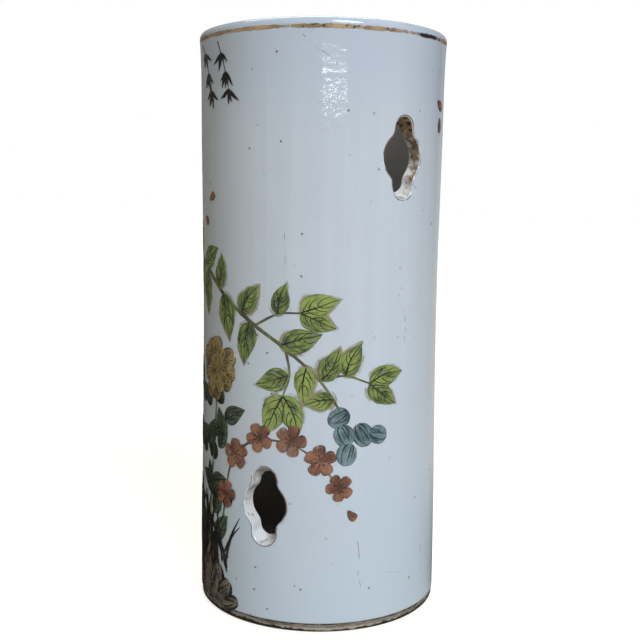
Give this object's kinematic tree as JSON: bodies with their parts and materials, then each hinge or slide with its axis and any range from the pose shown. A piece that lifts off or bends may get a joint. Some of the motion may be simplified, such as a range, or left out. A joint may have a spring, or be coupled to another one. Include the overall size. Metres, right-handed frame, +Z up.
{
  "type": "porcelain hat stand",
  "caption": "Tall glazed porcelain hat stand: a waisted open cylinder with a rolled, gilt lip, pierced by two staggered rows of gilded four-lobed openings, on a turned foot ring.",
  "frame": {"origin": "on the table, at the stand's axis, in the plane of the foot ring", "axes": "+Z up along the stand's axis, -Y towards the painted front, which has a lower opening on its centre line"},
  "size_m": [0.1212, 0.1212, 0.285],
  "materials": {
    "glaze": "glossy bluish white glaze over porcelain, with overglaze enamels",
    "biscuit": "unglazed porcelain, matt and stained",
    "gilding": "worn burnished gilding on the glaze"
  },
  "bodies": {
    "root": {"wall": "glaze", "base": "biscuit", "luting_coil": "glaze", "rim_gilding": "gilding", "upper_opening_gilding_1": "gilding", "upper_opening_gilding_2": "gilding", "upper_opening_gilding_3": "gilding", "lower_opening_gilding_1": "gilding", "lower_opening_gilding_2": "gilding", "lower_opening_gilding_3": "gilding"}
  },
  "joints": []
}
